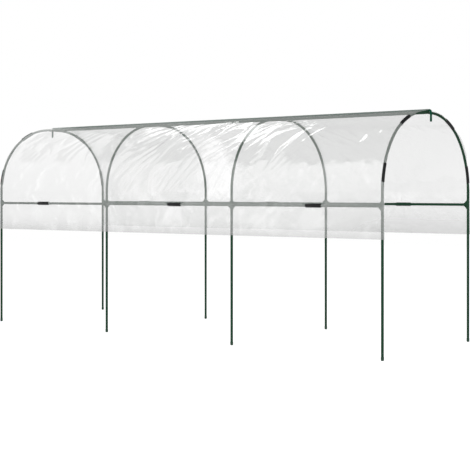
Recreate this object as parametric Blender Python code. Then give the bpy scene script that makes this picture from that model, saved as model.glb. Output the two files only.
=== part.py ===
"""Tunnel greenhouse: plug-together steel hoops under a clear film cover that snap clips hold down.

Metres, +Z up. The origin is on the ground, at the middle of the footprint. X runs along the tunnel
and -Y is the front. Hoops are numbered from -X to +X.
"""

import math
from collections import namedtuple

import bmesh
import bpy
from mathutils import Matrix, Vector

# Overall sizes
BAY_LENGTH = 1.0  # between the centrelines of two hoops
BAY_COUNT = 3
TUNNEL_WIDTH = 0.976  # between the centrelines of the legs
RAIL_HEIGHT = 0.807  # centreline of the side rails
HOOP_STRAIGHT = 0.081  # straight foot of each hoop above the rails
HOOP_RISE = 0.433  # from the end of that foot to the crown's centreline
CROWN_ARC_HALF_ANGLE = math.radians(28)  # of the flatter arc over the top

# Tubes and the ridge rod
TUBE_RADIUS = 0.0075
TUBE_WALL = 0.001
ROD_RADIUS = 0.006
ROD_WALL = 0.001
ROD_BEND_RADIUS = 0.012  # centreline of the hook's bend
ROD_JOINT_LENGTH = 0.030  # how far the middle rod's swaged ends reach into its neighbours
HOOK_DROP = 0.064  # from the rod's centreline down to the hook's tip
HOOK_TIP_CHAMFER = 0.0015
HOOK_PLUG = 0.004  # solid end that closes the hook's tube

# Connectors
ARM_REACH = 0.034  # from the centre of a side connector to the end of its arm
CROWN_ARM_REACH = 0.016
PLUG_LENGTH = 0.024  # beyond the arm, inside the tube
PLUG_CHAMFER = 0.0015
PLUG_PLAY = 0.0004  # radial, between plug and tube
CROSS_ARM_RELIEF = 0.0002  # the arms along X are this much slimmer than the upright hub
GUSSET_REACH = 0.032
GUSSET_THICKNESS = 0.005
GUSSET_NECK = 0.0035  # half height of a gusset where it runs out on an arm
GUSSET_HOLLOW = 0.0012  # how far its free edge bows in from a straight line
SADDLE_LENGTH = 0.0154  # the ridge rod's hooks bend down just past it
SADDLE_WALL = 0.0018

# Foot caps
CAP_HEIGHT = 0.020
CAP_WALL = 0.0010
CAP_FLOOR = 0.003
CAP_FLAT_RADIUS = 0.0045  # the flat that stands on the ground
CAP_SHOULDER_HEIGHT = 0.005

# Film cover
FILM_THICKNESS = 0.0005
SKIRT_DROP = 0.175  # from the rails down to the lower edge
FILM_OVERHANG = 0.016  # beyond the end hoops' centrelines
FILM_CLIP_BLEND = 0.026  # length over which the film leaves a rail clip's pinch
FILM_PINCH_RISE = 0.012  # above and below the rail, where the pinched film leaves straight
SKIRT_WAVE = 0.005
ROOF_SAG = 0.006  # between the hoops, at its deepest
ROOF_LEAN = 0.9  # how far the deepest part leans down one side of a bay and up the other

# Snap clips
CLIP_LENGTH = 0.102
CLIP_WALL = 0.0013
CLIP_HALF_ANGLE = math.radians(95)  # each way from its back; its mouth just clears the film
CLIP_END_PLAY = 0.0015  # between a clip's end and the film's folds
RAIL_CLIP_OFFSETS = (0.420, 0.565, 0.567)  # from each bay's left hoop to its clip's middle
LOW_CLIP_DISTANCE = 0.096  # along the hoop, from the end of its straight foot
HIGH_CLIP_DISTANCE = 0.260  # along the hoop, down from the crown

# Fits
GAP = 0.0003  # between pieces that touch

# Smoothness
SIDES = 12
SHOULDER_STEPS = 5
CROWN_STEPS = 3
ROD_BEND_STEPS = 4

# Worked out from the sizes above
HALF_STEP = math.pi / SIDES
HALF_WIDTH = TUNNEL_WIDTH / 2
HALF_LENGTH = BAY_LENGTH * BAY_COUNT / 2
HOOP_X = [BAY_LENGTH * i - HALF_LENGTH for i in range(BAY_COUNT + 1)]
SPRING_HEIGHT = RAIL_HEIGHT + HOOP_STRAIGHT
CROWN_HEIGHT = SPRING_HEIGHT + HOOP_RISE
CROWN_STRAIGHT = CROWN_ARM_REACH + PLUG_LENGTH
ROD_HEIGHT = CROWN_HEIGHT + TUBE_RADIUS + ROD_RADIUS + GAP
HOOK_X = HALF_LENGTH + SADDLE_LENGTH / 2 + GAP + ROD_BEND_RADIUS
FILM_RADIUS = TUBE_RADIUS + GAP
CLIP_RADIUS = FILM_RADIUS + FILM_THICKNESS + GAP
SKIRT_HEIGHT = RAIL_HEIGHT - SKIRT_DROP
ACROSS = Vector((0, 1, 0))
ALONG = Vector((1, 0, 0))
UP = Vector((0, 0, 1))


def clear_scene():
    for item in list(bpy.data.objects):
        bpy.data.objects.remove(item, do_unlink=True)


def make_material(name, colour, roughness, alpha=1.0):
    material = bpy.data.materials.new(name)
    material.use_nodes = True
    shader = material.node_tree.nodes["Principled BSDF"]
    shader.inputs["Base Color"].default_value = (*colour, 1.0)
    shader.inputs["Roughness"].default_value = roughness
    shader.inputs["Metallic"].default_value = 0.0
    shader.inputs["Alpha"].default_value = alpha
    return material


def add_object(name, mesh, material, location=(0, 0, 0), half_turn=False):
    """One named piece. A half turn about Z serves the opposite corner of the frame."""
    if not mesh.materials:
        mesh.materials.append(material)
    item = bpy.data.objects.new(name, mesh)
    bpy.context.scene.collection.objects.link(item)
    item.location = location
    item.rotation_euler = (0, 0, math.pi if half_turn else 0)
    return item


def finish_mesh(name, bm, smooth_angle=math.radians(35)):
    bmesh.ops.recalc_face_normals(bm, faces=bm.faces)
    mesh = bpy.data.meshes.new(name)
    bm.to_mesh(mesh)
    bm.free()
    mesh.shade_smooth()
    mesh.set_sharp_from_angle(angle=smooth_angle)
    return mesh


# Cross-sections and lofts


def section_frame(origin, direction, side):
    """A frame at origin with its Z along direction and its X towards side."""
    z = Vector(direction).normalized()
    x = Vector(side).normalized()
    y = z.cross(x)
    return Matrix.Translation(origin) @ Matrix((x, y, z)).transposed().to_4x4()


def facet_angle(k):
    """Angle of a round section's corner k; the sections have flats towards their axes."""
    return HALF_STEP * (2 * k + 1)


def add_ring(bm, frame, radius):
    corners = []
    for k in range(SIDES):
        angle = facet_angle(k)
        corners.append(bm.verts.new(frame @ Vector((radius * math.cos(angle), radius * math.sin(angle), 0))))
    return corners


def skin(bm, first, second):
    """Joins two rings corner to corner."""
    for k in range(len(first)):
        bm.faces.new((first[k - 1], first[k], second[k], second[k - 1]))


def loft_rings(bm, rings, closed=False):
    """Skins a chain of rings, given as (frame, radius). An open chain gets a flat cap at each end."""
    loops = [add_ring(bm, frame, radius) for frame, radius in rings]
    for first, second in zip(loops, loops[1:]):
        skin(bm, first, second)
    if closed:
        skin(bm, loops[-1], loops[0])
    else:
        bm.faces.new(loops[0])
        bm.faces.new(loops[-1])


def straight_tube(name, start, end, radius, wall):
    """An open-ended tube between two points."""
    direction = Vector(end) - Vector(start)
    side = ACROSS if abs(direction.normalized().dot(ALONG)) > 0.5 else ALONG
    first = section_frame(start, direction, side)
    last = section_frame(end, direction, side)
    bm = bmesh.new()
    loft_rings(bm, [(first, radius), (last, radius), (last, radius - wall), (first, radius - wall)], closed=True)
    return finish_mesh(name, bm)


def turned_solid(bm, axis, profile):
    """A solid turned about an axis through the origin, from (distance along the axis, radius) pairs."""
    side = ACROSS if abs(Vector(axis).dot(ALONG)) > 0.5 else ALONG
    loft_rings(bm, [(section_frame(Vector(axis) * along, axis, side), radius) for along, radius in profile])


def extruded_outline(bm, corners, direction, depth):
    """A flat outline extruded by depth, centred on its own plane."""
    half = Vector(direction) * (depth / 2)
    face = bm.faces.new([bm.verts.new(Vector(corner) - half) for corner in corners])
    grown = bmesh.ops.extrude_face_region(bm, geom=[face])
    moved = [item for item in grown["geom"] if isinstance(item, bmesh.types.BMVert)]
    bmesh.ops.translate(bm, verts=moved, vec=half * 2)


def union_meshes(name, builders):
    """Joins overlapping solids, each made by one builder, into a single body."""
    pieces = []
    for index, build in enumerate(builders):
        bm = bmesh.new()
        build(bm)
        label = f"{name}_{index}"
        pieces.append(add_object(label, finish_mesh(label, bm), None))
    base = pieces[0]
    for other in pieces[1:]:
        joiner = base.modifiers.new("join", "BOOLEAN")
        joiner.operation = "UNION"
        joiner.solver = "EXACT"
        joiner.object = other
    bpy.context.view_layer.update()
    joined = bpy.data.meshes.new_from_object(base.evaluated_get(bpy.context.evaluated_depsgraph_get()))
    joined.name = name
    joined.materials.clear()
    for piece in pieces:
        bpy.data.objects.remove(piece, do_unlink=True)
    joined.shade_smooth()
    joined.set_sharp_from_angle(angle=math.radians(35))
    return joined


# The hoop's centreline


def hoop_radii():
    """Shoulder and crown radii of the hoop's two arcs, which meet on a common tangent."""
    s = math.sin(CROWN_ARC_HALF_ANGLE)
    c = math.cos(CROWN_ARC_HALF_ANGLE)
    half = HALF_WIDTH - CROWN_STRAIGHT
    spread = 1 - s - c
    shoulder = (half * (1 - c) - HOOP_RISE * s) / spread
    crown = ((1 - s) * HOOP_RISE - c * half) / spread
    return shoulder, crown


def hoop_outward(angle):
    """Outward direction on the front half of a hoop: 0 at its foot, a quarter turn at the crown."""
    return Vector((0, -math.cos(angle), math.sin(angle)))


def hoop_stations():
    """The bent part of the front half as (point, outward angle), from the straight foot to the crown."""
    shoulder, crown = hoop_radii()
    shoulder_centre = Vector((0, shoulder - HALF_WIDTH, SPRING_HEIGHT))
    crown_centre = Vector((0, -CROWN_STRAIGHT, CROWN_HEIGHT - crown))
    junction = math.pi / 2 - CROWN_ARC_HALF_ANGLE
    stations = []
    for k in range(SHOULDER_STEPS + 1):
        angle = junction * k / SHOULDER_STEPS
        stations.append((shoulder_centre + hoop_outward(angle) * shoulder, angle))
    for k in range(1, CROWN_STEPS + 1):
        angle = junction + CROWN_ARC_HALF_ANGLE * k / CROWN_STEPS
        stations.append((crown_centre + hoop_outward(angle) * crown, angle))
    return stations


STATIONS = hoop_stations()
STATION_DISTANCES = [0.0]
for earlier, later in zip(STATIONS, STATIONS[1:]):
    STATION_DISTANCES.append(STATION_DISTANCES[-1] + (later[0] - earlier[0]).length)
CROWN_DISTANCE = STATION_DISTANCES[-1] + CROWN_STRAIGHT


def station_number(distance):
    """Where a distance along the bent hoop lies, in stations and fractions of one."""
    for k, (low, high) in enumerate(zip(STATION_DISTANCES, STATION_DISTANCES[1:])):
        if distance <= high:
            return k + (distance - low) / (high - low)
    return float(len(STATION_DISTANCES) - 1)


def hoop_at(number):
    """Point and outward vector at a station number, straight between two stations as the tube is."""
    k = min(int(number), len(STATIONS) - 2)
    share = number - k
    point = STATIONS[k][0].lerp(STATIONS[k + 1][0], share)
    outward = hoop_outward(STATIONS[k][1]).lerp(hoop_outward(STATIONS[k + 1][1]), share)
    return point, outward


def clip_span(centre, play=0.0):
    """Station numbers that a hoop clip covers, its own stations among them."""
    start = station_number(centre - CLIP_LENGTH / 2 - play)
    end = station_number(centre + CLIP_LENGTH / 2 + play)
    inside = [float(k) for k in range(len(STATIONS)) if start < k < end]
    return [start, *inside, end]


HOOP_CLIP_CENTRES = {"low": LOW_CLIP_DISTANCE, "high": CROWN_DISTANCE - HIGH_CLIP_DISTANCE}


# Frame


def leg_mesh():
    """A leg closed by its foot cap, a cup with a rounded sole that stands a little proud of the tube."""
    top = RAIL_HEIGHT - ARM_REACH - GAP
    bore = TUBE_RADIUS - TUBE_WALL
    outside = TUBE_RADIUS + CAP_WALL
    sole_rise = CAP_SHOULDER_HEIGHT * 0.3
    sole_radius = CAP_FLAT_RADIUS + (outside - CAP_FLAT_RADIUS) * 0.65
    profile = [(0, CAP_FLAT_RADIUS), (sole_rise, sole_radius), (CAP_SHOULDER_HEIGHT, outside),
               (CAP_HEIGHT, outside), (CAP_HEIGHT, TUBE_RADIUS), (top, TUBE_RADIUS), (top, bore), (CAP_FLOOR, bore)]
    bm = bmesh.new()
    turned_solid(bm, UP, profile)
    return finish_mesh("leg", bm)


def arch_mesh():
    """The front half of a hoop: a straight foot, a shoulder bend and a flatter bend to the crown."""
    foot = Vector((0, -HALF_WIDTH, RAIL_HEIGHT + ARM_REACH + GAP))
    tip = Vector((0, -CROWN_ARM_REACH - GAP, CROWN_HEIGHT))
    path = [(foot, 0.0), *STATIONS, (tip, math.pi / 2)]
    frames = [section_frame(point, (0, math.sin(angle), math.cos(angle)), ALONG) for point, angle in path]
    bm = bmesh.new()
    outside = [(frame, TUBE_RADIUS) for frame in frames]
    inside = [(frame, TUBE_RADIUS - TUBE_WALL) for frame in reversed(frames)]
    loft_rings(bm, outside + inside, closed=True)
    return finish_mesh("arch", bm)


def plug_end(reach, sign=1):
    """Profile of one arm's end, from its shoulder to the chamfered tip of its plug."""
    plug = TUBE_RADIUS - TUBE_WALL - PLUG_PLAY
    tip = reach + PLUG_LENGTH
    return [(sign * reach, plug), (sign * (tip - PLUG_CHAMFER), plug), (sign * tip, plug - PLUG_CHAMFER)]


def double_arm(axis, reach, radius):
    """A bar with a plug at both ends."""
    profile = [*reversed(plug_end(reach, -1)), (-reach, radius), (reach, radius), *plug_end(reach)]
    return lambda bm: turned_solid(bm, axis, profile)


def single_arm(axis, reach, radius):
    """An arm from the hub's centre with one plug."""
    profile = [(0, radius), (reach, radius), *plug_end(reach)]
    return lambda bm: turned_solid(bm, axis, profile)


def gusset_edge(x_sign, z_sign):
    """The slightly hollow free edge of one gusset, from the X arm to the upright one."""
    start = Vector((x_sign * GUSSET_REACH, 0, z_sign * GUSSET_NECK))
    end = Vector((x_sign * GUSSET_NECK, 0, z_sign * GUSSET_REACH))
    inward = Vector((-x_sign, 0, -z_sign)).normalized() * GUSSET_HOLLOW
    return [start, start.lerp(end, 1 / 3) + inward, start.lerp(end, 2 / 3) + inward, end]


def gusset_plate(two_sided):
    """The web that fills the corners between the arms, one half of it on an end hoop's connector."""
    corners = [*reversed(gusset_edge(1, -1)), *gusset_edge(1, 1)]
    if two_sided:
        corners += [*reversed(gusset_edge(-1, 1)), *gusset_edge(-1, -1)]
    else:
        corners += [Vector((-GUSSET_NECK, 0, GUSSET_REACH)), Vector((-GUSSET_NECK, 0, -GUSSET_REACH))]
    return lambda bm: extruded_outline(bm, corners, ACROSS, GUSSET_THICKNESS)


def side_connector_mesh(name, two_sided):
    slim = TUBE_RADIUS - CROSS_ARM_RELIEF
    arm = double_arm(ALONG, ARM_REACH, slim) if two_sided else single_arm(ALONG, ARM_REACH, slim)
    return union_meshes(name, [double_arm(UP, ARM_REACH, TUBE_RADIUS), arm, gusset_plate(two_sided)])


def saddle(bm):
    """A snap seat on top of the crown that holds the ridge rod by rather more than half its girth."""
    seat = ROD_RADIUS + GAP
    rod = Vector((0, 0, TUBE_RADIUS + ROD_RADIUS + GAP))
    grip = [k for k in range(SIDES) if math.cos(facet_angle(k)) > -0.3]
    groove = []
    for k in sorted(grip, key=lambda k: math.remainder(facet_angle(k), 2 * math.pi)):
        angle = facet_angle(k)
        groove.append(rod + Vector((0, math.sin(angle), -math.cos(angle))) * seat)
    outside = seat + SADDLE_WALL
    base = TUBE_RADIUS * 0.5
    top = groove[0].z
    corners = [Vector((0, -outside, base)), Vector((0, -outside, top)), *groove,
               Vector((0, outside, top)), Vector((0, outside, base))]
    extruded_outline(bm, corners, ALONG, SADDLE_LENGTH)


def crown_connector_mesh(name, two_sided):
    slim = TUBE_RADIUS - CROSS_ARM_RELIEF
    reach = CROWN_ARM_REACH
    arm = double_arm(ALONG, reach, slim) if two_sided else single_arm(ALONG, reach, slim)
    return union_meshes(name, [double_arm(ACROSS, reach, TUBE_RADIUS), arm, saddle])


def build_frame(coat, plastic):
    leg = leg_mesh()
    arch = arch_mesh()
    tee = side_connector_mesh("side_tee", False)
    cross = side_connector_mesh("side_cross", True)
    crown_tee = crown_connector_mesh("crown_tee", False)
    crown_cross = crown_connector_mesh("crown_cross", True)
    last = len(HOOP_X) - 1
    for index, x in enumerate(HOOP_X):
        number = index + 1
        end_hoop = index in (0, last)
        for side, y in (("front", -HALF_WIDTH), ("back", HALF_WIDTH)):
            add_object(f"leg_{side}_{number}", leg, coat, (x, y, 0))
            add_object(f"arch_{side}_{number}", arch, coat, (x, 0, 0), half_turn=side == "back")
            add_object(f"side_connector_{side}_{number}", tee if end_hoop else cross, plastic,
                       (x, y, RAIL_HEIGHT), half_turn=index == last)
        add_object(f"crown_connector_{number}", crown_tee if end_hoop else crown_cross, plastic,
                   (x, 0, CROWN_HEIGHT), half_turn=index == last)


def build_rails(coat):
    half_rail = BAY_LENGTH / 2 - ARM_REACH - GAP
    half_ridge = BAY_LENGTH / 2 - CROWN_ARM_REACH - GAP
    rail = straight_tube("rail", (-half_rail, 0, 0), (half_rail, 0, 0), TUBE_RADIUS, TUBE_WALL)
    ridge = straight_tube("ridge", (-half_ridge, 0, 0), (half_ridge, 0, 0), TUBE_RADIUS, TUBE_WALL)
    for index in range(BAY_COUNT):
        middle = HOOP_X[index] + BAY_LENGTH / 2
        add_object(f"rail_front_{index + 1}", rail, coat, (middle, -HALF_WIDTH, RAIL_HEIGHT))
        add_object(f"rail_back_{index + 1}", rail, coat, (middle, HALF_WIDTH, RAIL_HEIGHT))
        add_object(f"ridge_tube_{index + 1}", ridge, coat, (middle, 0, CROWN_HEIGHT))


# Ridge rod


def hook_frames(joint_x, end_z):
    """Frames along the right-hand piece's centreline: the joint, the bend and the hook's lower end."""
    frames = [section_frame((joint_x, 0, ROD_HEIGHT), ALONG, ACROSS)]
    for k in range(ROD_BEND_STEPS + 1):
        angle = math.pi / 2 * k / ROD_BEND_STEPS
        point = Vector((HOOK_X - ROD_BEND_RADIUS * (1 - math.sin(angle)), 0,
                        ROD_HEIGHT - ROD_BEND_RADIUS * (1 - math.cos(angle))))
        frames.append(section_frame(point, (math.cos(angle), 0, -math.sin(angle)), ACROSS))
    frames.append(section_frame((HOOK_X, 0, end_z), -UP, ACROSS))
    return frames


def hooked_rod_mesh(joint_x):
    """The right-hand piece: a tube with a bent hook, closed at its tip and open at its joint."""
    tip = ROD_HEIGHT - HOOK_DROP
    bore = [(frame, ROD_RADIUS - ROD_WALL) for frame in hook_frames(joint_x + GAP, tip + HOOK_PLUG)]
    skin_rings = [(frame, ROD_RADIUS) for frame in hook_frames(joint_x + GAP, tip + HOOK_TIP_CHAMFER)]
    end = (section_frame((HOOK_X, 0, tip), -UP, ACROSS), ROD_RADIUS - HOOK_TIP_CHAMFER)
    bm = bmesh.new()
    loft_rings(bm, [*reversed(bore), *skin_rings, end])
    return finish_mesh("ridge_rod_hooked", bm)


def middle_rod_mesh(first_x, last_x):
    """The middle piece: a tube swaged down at both ends to slide into its neighbours."""
    swage = ROD_RADIUS - ROD_WALL - PLUG_PLAY
    bore = swage - ROD_WALL
    rings = []
    for x, radius in ((first_x - ROD_JOINT_LENGTH, bore), (first_x - ROD_JOINT_LENGTH, swage), (first_x, swage),
                      (first_x, ROD_RADIUS), (last_x, ROD_RADIUS), (last_x, swage),
                      (last_x + ROD_JOINT_LENGTH, swage), (last_x + ROD_JOINT_LENGTH, bore)):
        rings.append((section_frame((x, 0, ROD_HEIGHT), ALONG, ACROSS), radius))
    bm = bmesh.new()
    loft_rings(bm, rings, closed=True)
    return finish_mesh("ridge_rod_middle", bm)


def build_ridge_rod(coat):
    joint_x = HOOP_X[-2]
    hooked = hooked_rod_mesh(joint_x)
    add_object("ridge_rod_right", hooked, coat)
    add_object("ridge_rod_left", hooked, coat, half_turn=True)
    add_object("ridge_rod_middle", middle_rod_mesh(-joint_x, joint_x), coat)


# Snap clips


def clip_corners():
    """(angle from the clip's back, radius) round its C-shaped section."""
    flat = math.cos(HALF_STEP)
    angles = [facet_angle(k) - 2 * HALF_STEP * (SIDES // 2) for k in range(SIDES)]
    angles = [angle for angle in angles if abs(angle) < CLIP_HALF_ANGLE]

    def reach(angle, radius):
        facet = math.remainder(angle, 2 * HALF_STEP)
        return radius * flat / math.cos(facet)

    angles = [-CLIP_HALF_ANGLE, *angles, CLIP_HALF_ANGLE]
    inner = [(angle, reach(angle, CLIP_RADIUS)) for angle in angles]
    outer = [(angle, reach(angle, CLIP_RADIUS + CLIP_WALL)) for angle in reversed(angles)]
    return inner + outer


def clip_mesh(name, path, back, origin):
    """Sweeps the section along path, given as (point, sideways); back is where the clip pulls off to."""
    bm = bmesh.new()
    loops = []
    for point, sideways in path:
        corners = []
        for angle, radius in clip_corners():
            corners.append(bm.verts.new(
                point - origin + back * (math.cos(angle) * radius) + sideways * (math.sin(angle) * radius)))
        loops.append(corners)
    for first, second in zip(loops, loops[1:]):
        skin(bm, first, second)
    bm.faces.new(loops[0])
    bm.faces.new(loops[-1])
    return finish_mesh(name, bm)


def build_rail_clips(black):
    half = ALONG * (CLIP_LENGTH / 2)
    mesh = clip_mesh("rail_clip", [(-half, UP), (half, UP)], -ACROSS, Vector())
    for index, offset in enumerate(RAIL_CLIP_OFFSETS):
        x = HOOP_X[index] + offset
        add_object(f"rail_clip_front_{index + 1}", mesh, black, (x, -HALF_WIDTH, RAIL_HEIGHT))
        add_object(f"rail_clip_back_{index + 1}", mesh, black, (x, HALF_WIDTH, RAIL_HEIGHT), half_turn=True)


def build_hoop_clips(black):
    """Each end hoop's clips; the one made for a front end serves the opposite back end, turned round."""
    for height, centre in HOOP_CLIP_CENTRES.items():
        path = [hoop_at(number) for number in clip_span(centre)]
        origin = hoop_at(station_number(centre))[0]
        for end, opposite, sign in (("right", "left", 1), ("left", "right", -1)):
            mesh = clip_mesh(f"hoop_clip_{height}_{end}", path, ALONG * sign, origin)
            place = Vector((HALF_LENGTH * sign, origin.y, origin.z))
            turned = Vector((-place.x, -place.y, place.z))
            add_object(f"hoop_clip_{end}_front_{height}", mesh, black, place)
            add_object(f"hoop_clip_{opposite}_back_{height}", mesh, black, turned, half_turn=True)


# Film cover


def pinch_points():
    """The film round a rail under a clip, from below to above, as (outward, up) from the rail's centre."""
    inside = FILM_RADIUS * math.cos(math.pi / 2 + HALF_STEP)
    points = [(inside, -FILM_PINCH_RISE)]
    for k in range(-4, 4):
        angle = facet_angle(k)
        points.append((FILM_RADIUS * math.cos(angle), FILM_RADIUS * math.sin(angle)))
    points.append((inside, FILM_PINCH_RISE))
    return points


RibPoint = namedtuple("RibPoint", "order vertex side number")
PINCH_ORDERS = (0.0, 0.1, 0.2, 0.3, 0.5, 1.5, 1.7, 1.8, 1.9, 2.0)
BLEND_ORDERS = (0.0, 1.0, 1.6)


def rail_points(kind):
    """The film where it passes a rail: (order, outward, up) from below to above."""
    if kind == "pinched":
        return [(order, *point) for order, point in zip(PINCH_ORDERS, pinch_points())]
    if kind == "blend":
        heights = (-FILM_PINCH_RISE, 0, FILM_PINCH_RISE)
        return [(order, FILM_RADIUS, height) for order, height in zip(BLEND_ORDERS, heights)]
    return [(1.0, FILM_RADIUS, 0)]


def roof_inset(kind, number, lean):
    """How far the film sags in from the hoops' line; lean shifts the sag down or up the bend."""
    if kind == "hoop":
        return 0.0
    turn = math.pi * number / (len(STATIONS) - 1)
    return ROOF_SAG * math.sin(turn) * (1 + lean * math.cos(turn))


def film_half(kind, numbers, skirt_out, lean):
    """Half a rib in the YZ plane: lower edge, rail, then the bent part to the ridge rod."""
    lower = (-HALF_WIDTH - FILM_RADIUS - skirt_out, SKIRT_HEIGHT)
    rail = [(-HALF_WIDTH - out, RAIL_HEIGHT + up) for order, out, up in rail_points(kind)]
    upper = []
    for number in numbers:
        point, outward = hoop_at(number)
        place = point + outward * (FILM_RADIUS - roof_inset(kind, number, lean))
        upper.append((place.y, place.z))
    top = (-ROD_RADIUS * math.sin(HALF_STEP) - GAP, ROD_HEIGHT + ROD_RADIUS + GAP)
    return lower, rail, upper, top


def film_rib(bm, x, kind, skirt_out=0.0, lean=0.0, extra=()):
    """One rib across the tunnel, a list of RibPoint from the front lower edge to the back one."""
    whole = [float(k) for k in range(len(STATIONS) - 1)]
    numbers = sorted([*whole, *extra])
    lower, rail, upper, top = film_half(kind, numbers, skirt_out, lean)
    rail_orders = [item[0] for item in rail_points(kind)]
    span = len(STATIONS)
    rib = []

    def add(order, place, side, number=None):
        rib.append(RibPoint(order, bm.verts.new((x, side * -place[0], place[1])), side, number))

    add(0.0, lower, -1)
    for order, place in zip(rail_orders, rail):
        add(2.0 + order, place, -1)
    for number, place in zip(numbers, upper):
        add(10.0 + number, place, -1, number)
    add(10.0 + span, top, -1)
    add(12.0 + span, top, 1)
    for number, place in zip(reversed(numbers), reversed(upper)):
        add(12.0 + 2 * span - number, place, 1, number)
    for order, place in zip(rail_orders, reversed(rail)):
        add(14.0 + 2 * span + order, place, 1)
    add(20.0 + 2 * span, lower, 1)
    return rib


def stitch(bm, first, second):
    """Skins two ribs that may have different numbers of points, matching equal orders."""
    i = 0
    j = 0
    while i < len(first) - 1 or j < len(second) - 1:
        next_first = first[i + 1].order if i < len(first) - 1 else math.inf
        next_second = second[j + 1].order if j < len(second) - 1 else math.inf
        corners = [first[i].vertex, second[j].vertex]
        if next_second <= next_first:
            j += 1
            corners.append(second[j].vertex)
        if next_first <= next_second:
            i += 1
            corners.append(first[i].vertex)
        bm.faces.new(corners)


def fan(bm, apex, chain):
    for first, second in zip(chain, chain[1:]):
        bm.faces.new((apex, first, second))


def tuck(bm, point, sign):
    """The film wound round an end hoop's tube from one rib point, corner by corner."""
    centre, outward = hoop_at(point.number)
    column = [point.vertex]
    for k in range(4):
        angle = facet_angle(k)
        place = centre + outward * (FILM_RADIUS * math.cos(angle))
        x = sign * (HALF_LENGTH + FILM_RADIUS * math.sin(angle))
        column.append(bm.verts.new((x, -point.side * place.y, place.z)))
    return column


def is_tucked(point, spans):
    """Whether a rib point lies under a hoop clip."""
    if point.number is None:
        return False
    return any(span[0] <= point.number <= span[-1] for span in spans)


def add_film_end(bm, rib, spans, sign):
    """The film's end: a free strip beyond the hoop, tucked round the tube under each hoop clip."""
    overhang = ALONG * (sign * FILM_OVERHANG)
    strip = {}
    for index, point in enumerate(rib):
        if not is_tucked(point, spans):
            strip[index] = bm.verts.new(point.vertex.co + overhang)
    free = sorted(strip)
    for here, after in zip(free, free[1:]):
        if after == here + 1:
            bm.faces.new((rib[here].vertex, rib[after].vertex, strip[after], strip[here]))
            continue
        columns = [tuck(bm, rib[index], sign) for index in range(here + 1, after)]
        for first, second in zip(columns, columns[1:]):
            for row in range(len(first) - 1):
                bm.faces.new((first[row], second[row], second[row + 1], first[row + 1]))
        fan(bm, strip[here], [rib[here].vertex, *columns[0]])
        fan(bm, strip[after], [rib[after].vertex, *columns[-1]])


def film_ribs(bm, end_points):
    """All ribs from the left end hoop to the right one."""
    half_zone = CLIP_LENGTH / 2 + CLIP_END_PLAY
    ribs = [film_rib(bm, -HALF_LENGTH, "hoop", extra=end_points)]
    for index, offset in enumerate(RAIL_CLIP_OFFSETS):
        middle = HOOP_X[index] + offset
        wave = SKIRT_WAVE if index % 2 else -SKIRT_WAVE
        left_fold = (HOOP_X[index] + middle - half_zone) / 2
        right_fold = (middle + half_zone + HOOP_X[index + 1]) / 2
        ribs.append(film_rib(bm, left_fold, "plain", wave, ROOF_LEAN))
        ribs.append(film_rib(bm, middle - half_zone - FILM_CLIP_BLEND, "blend"))
        ribs.append(film_rib(bm, middle - half_zone, "pinched"))
        ribs.append(film_rib(bm, middle + half_zone, "pinched"))
        ribs.append(film_rib(bm, middle + half_zone + FILM_CLIP_BLEND, "blend"))
        ribs.append(film_rib(bm, right_fold, "plain", -wave, -ROOF_LEAN))
        if index < BAY_COUNT - 1:
            ribs.append(film_rib(bm, HOOP_X[index + 1], "hoop"))
    ribs.append(film_rib(bm, HALF_LENGTH, "hoop", extra=end_points))
    return ribs


def face_outwards(bm):
    """Turns the open sheet's faces so that the one over the ridge looks up."""
    bmesh.ops.recalc_face_normals(bm, faces=bm.faces)
    highest = max(bm.faces, key=lambda face: face.calc_center_median().z)
    if highest.normal.z < 0:
        bmesh.ops.reverse_faces(bm, faces=bm.faces)


def build_film(clear_film):
    spans = [clip_span(centre, CLIP_END_PLAY) for centre in HOOP_CLIP_CENTRES.values()]
    end_points = [number for span in spans for number in (span[0], span[-1])]
    bm = bmesh.new()
    ribs = film_ribs(bm, end_points)
    for first, second in zip(ribs, ribs[1:]):
        stitch(bm, first, second)
    add_film_end(bm, ribs[0], spans, -1)
    add_film_end(bm, ribs[-1], spans, 1)
    face_outwards(bm)
    mesh = bpy.data.meshes.new("film_cover")
    bm.to_mesh(mesh)
    bm.free()
    mesh.shade_smooth()
    film = add_object("film_cover", mesh, clear_film)
    wall = film.modifiers.new("film_thickness", "SOLIDIFY")
    wall.thickness = FILM_THICKNESS
    wall.offset = 1.0


def build():
    clear_scene()
    coat = make_material("green_coated_steel", (0.045, 0.085, 0.055), 0.4)
    plastic = make_material("dark_green_plastic", (0.03, 0.09, 0.055), 0.5)
    black = make_material("black_plastic", (0.015, 0.015, 0.015), 0.45)
    clear_film = make_material("clear_film", (0.9, 0.93, 0.92), 0.15, alpha=0.35)
    build_frame(coat, plastic)
    build_rails(coat)
    build_ridge_rod(coat)
    build_rail_clips(black)
    build_hoop_clips(black)
    build_film(clear_film)


build()
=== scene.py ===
# %% [markdown]
# # Tunnel greenhouse
# A small garden tunnel: four hoops of green coated steel tube on legs, plugged together with plastic
# connectors, and a clear film cover that snap clips hold to the tubes. The frame comes from the packed
# CAD model and stays fixed. This file adds what the eye judges: the creased film, the smooth bends of
# the hoops, the clips, and a real finish on every surface.

# %% Load the frame
import math

import bmesh
import bpy
import numpy as np
from mathutils import Matrix, Vector, noise


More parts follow.
